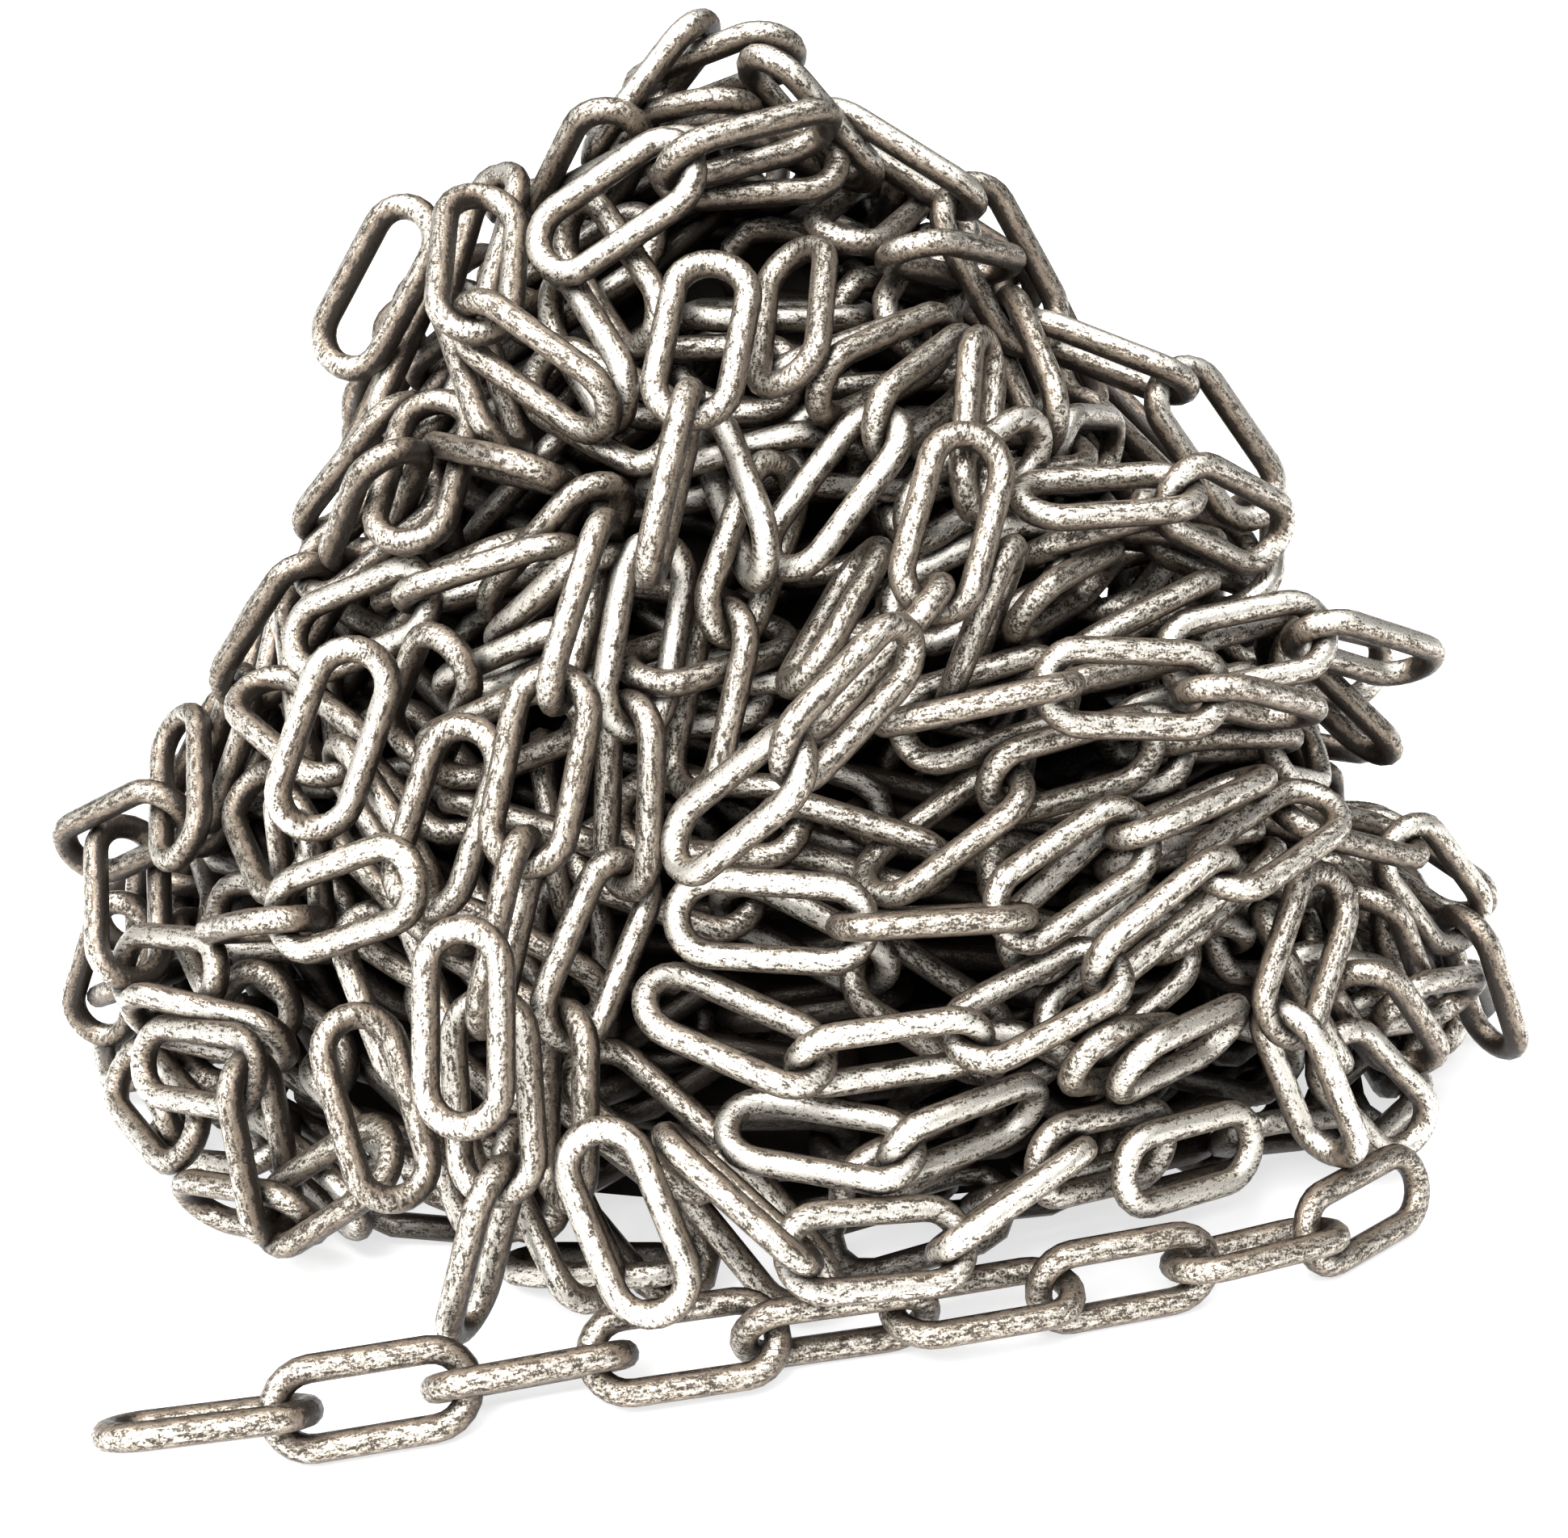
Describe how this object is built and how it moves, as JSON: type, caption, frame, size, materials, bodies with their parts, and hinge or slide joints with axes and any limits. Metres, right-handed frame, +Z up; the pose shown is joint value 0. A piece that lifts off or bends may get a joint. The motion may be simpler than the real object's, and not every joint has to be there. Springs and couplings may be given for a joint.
{
  "type": "heap of long-link chain",
  "caption": "Heap of round-wire, long-link iron chain on the ground, with one end of the chain trailing out in front; set dressing, ballast or raw stock.",
  "frame": {"origin": "centre of the bounding box in plan, on the ground plane under the heap", "axes": "+X along the front of the heap, from the free end of the trailing chain to the end that goes into the heap; +Y from the trailing chain to the back of the heap; +Z up"},
  "size_m": [0.3672, 0.353, 0.2657],
  "materials": {
    "core_iron": "dark, dull iron in the shade of the heap",
    "heap_iron": "worn, pitted grey iron with polished high spots and brown-black rust in the pits",
    "tail_iron": "worn, pitted grey iron with polished high spots and brown-black rust in the pits"
  },
  "bodies": {
    "root": {"heap_core": "core_iron", "strand_back_band_1": "heap_iron", "strand_back_band_2": "heap_iron", "strand_back_band_3": "heap_iron", "strand_back_band_4": "heap_iron", "strand_back_drop_1": "heap_iron", "strand_back_drop_2": "heap_iron", "strand_back_drop_3": "heap_iron", "strand_bottom_left_fan": "heap_iron", "strand_bottom_mid_fan": "heap_iron", "strand_bottom_right_fan": "heap_iron", "strand_bottom_swag": "heap_iron", "strand_centre_drop": "heap_iron", "strand_centre_inner": "heap_iron", "strand_centre_top": "heap_iron", "strand_dark_sill": "heap_iron", "strand_left_arch": "heap_iron", "strand_left_bar": "heap_iron", "strand_left_corner": "heap_iron", "strand_left_drop": "heap_iron", "strand_left_edge": "heap_iron", "strand_left_foot": "heap_iron", "strand_left_foot_hook": "heap_iron", "strand_left_hook": "heap_iron", "strand_left_loop": "heap_iron", "strand_left_open": "heap_iron", "strand_left_slant": "heap_iron", "strand_middle_bow": "heap_iron", "strand_middle_left": "heap_iron", "strand_middle_slant": "heap_iron", "strand_middle_upper": "heap_iron", "strand_peak_bar": "heap_iron", "strand_peak_front": "heap_iron", "strand_peak_left": "heap_iron", "strand_right_arch": "heap_iron", "strand_right_band": "heap_iron", "strand_right_edge": "heap_iron", "strand_right_foot": "heap_iron", "strand_right_loop": "heap_iron", "strand_right_lower": "heap_iron", "strand_right_middle": "heap_iron", "strand_right_ring": "heap_iron", "strand_shoulder_left": "heap_iron", "strand_shoulder_left_edge": "heap_iron", "strand_shoulder_right": "heap_iron", "strand_shoulder_right_edge": "heap_iron", "strand_swag_lower": "heap_iron", "strand_swag_upper": "heap_iron", "strand_top_loop": "heap_iron", "strand_upper_right_band": "heap_iron", "strand_upper_right_bow": "heap_iron", "tail_link_01": "tail_iron", "tail_link_02": "tail_iron", "tail_link_03": "tail_iron", "tail_link_04": "tail_iron", "tail_link_05": "tail_iron", "tail_link_06": "tail_iron", "tail_link_07": "tail_iron", "tail_link_08": "tail_iron", "tail_link_09": "tail_iron"}
  },
  "joints": []
}
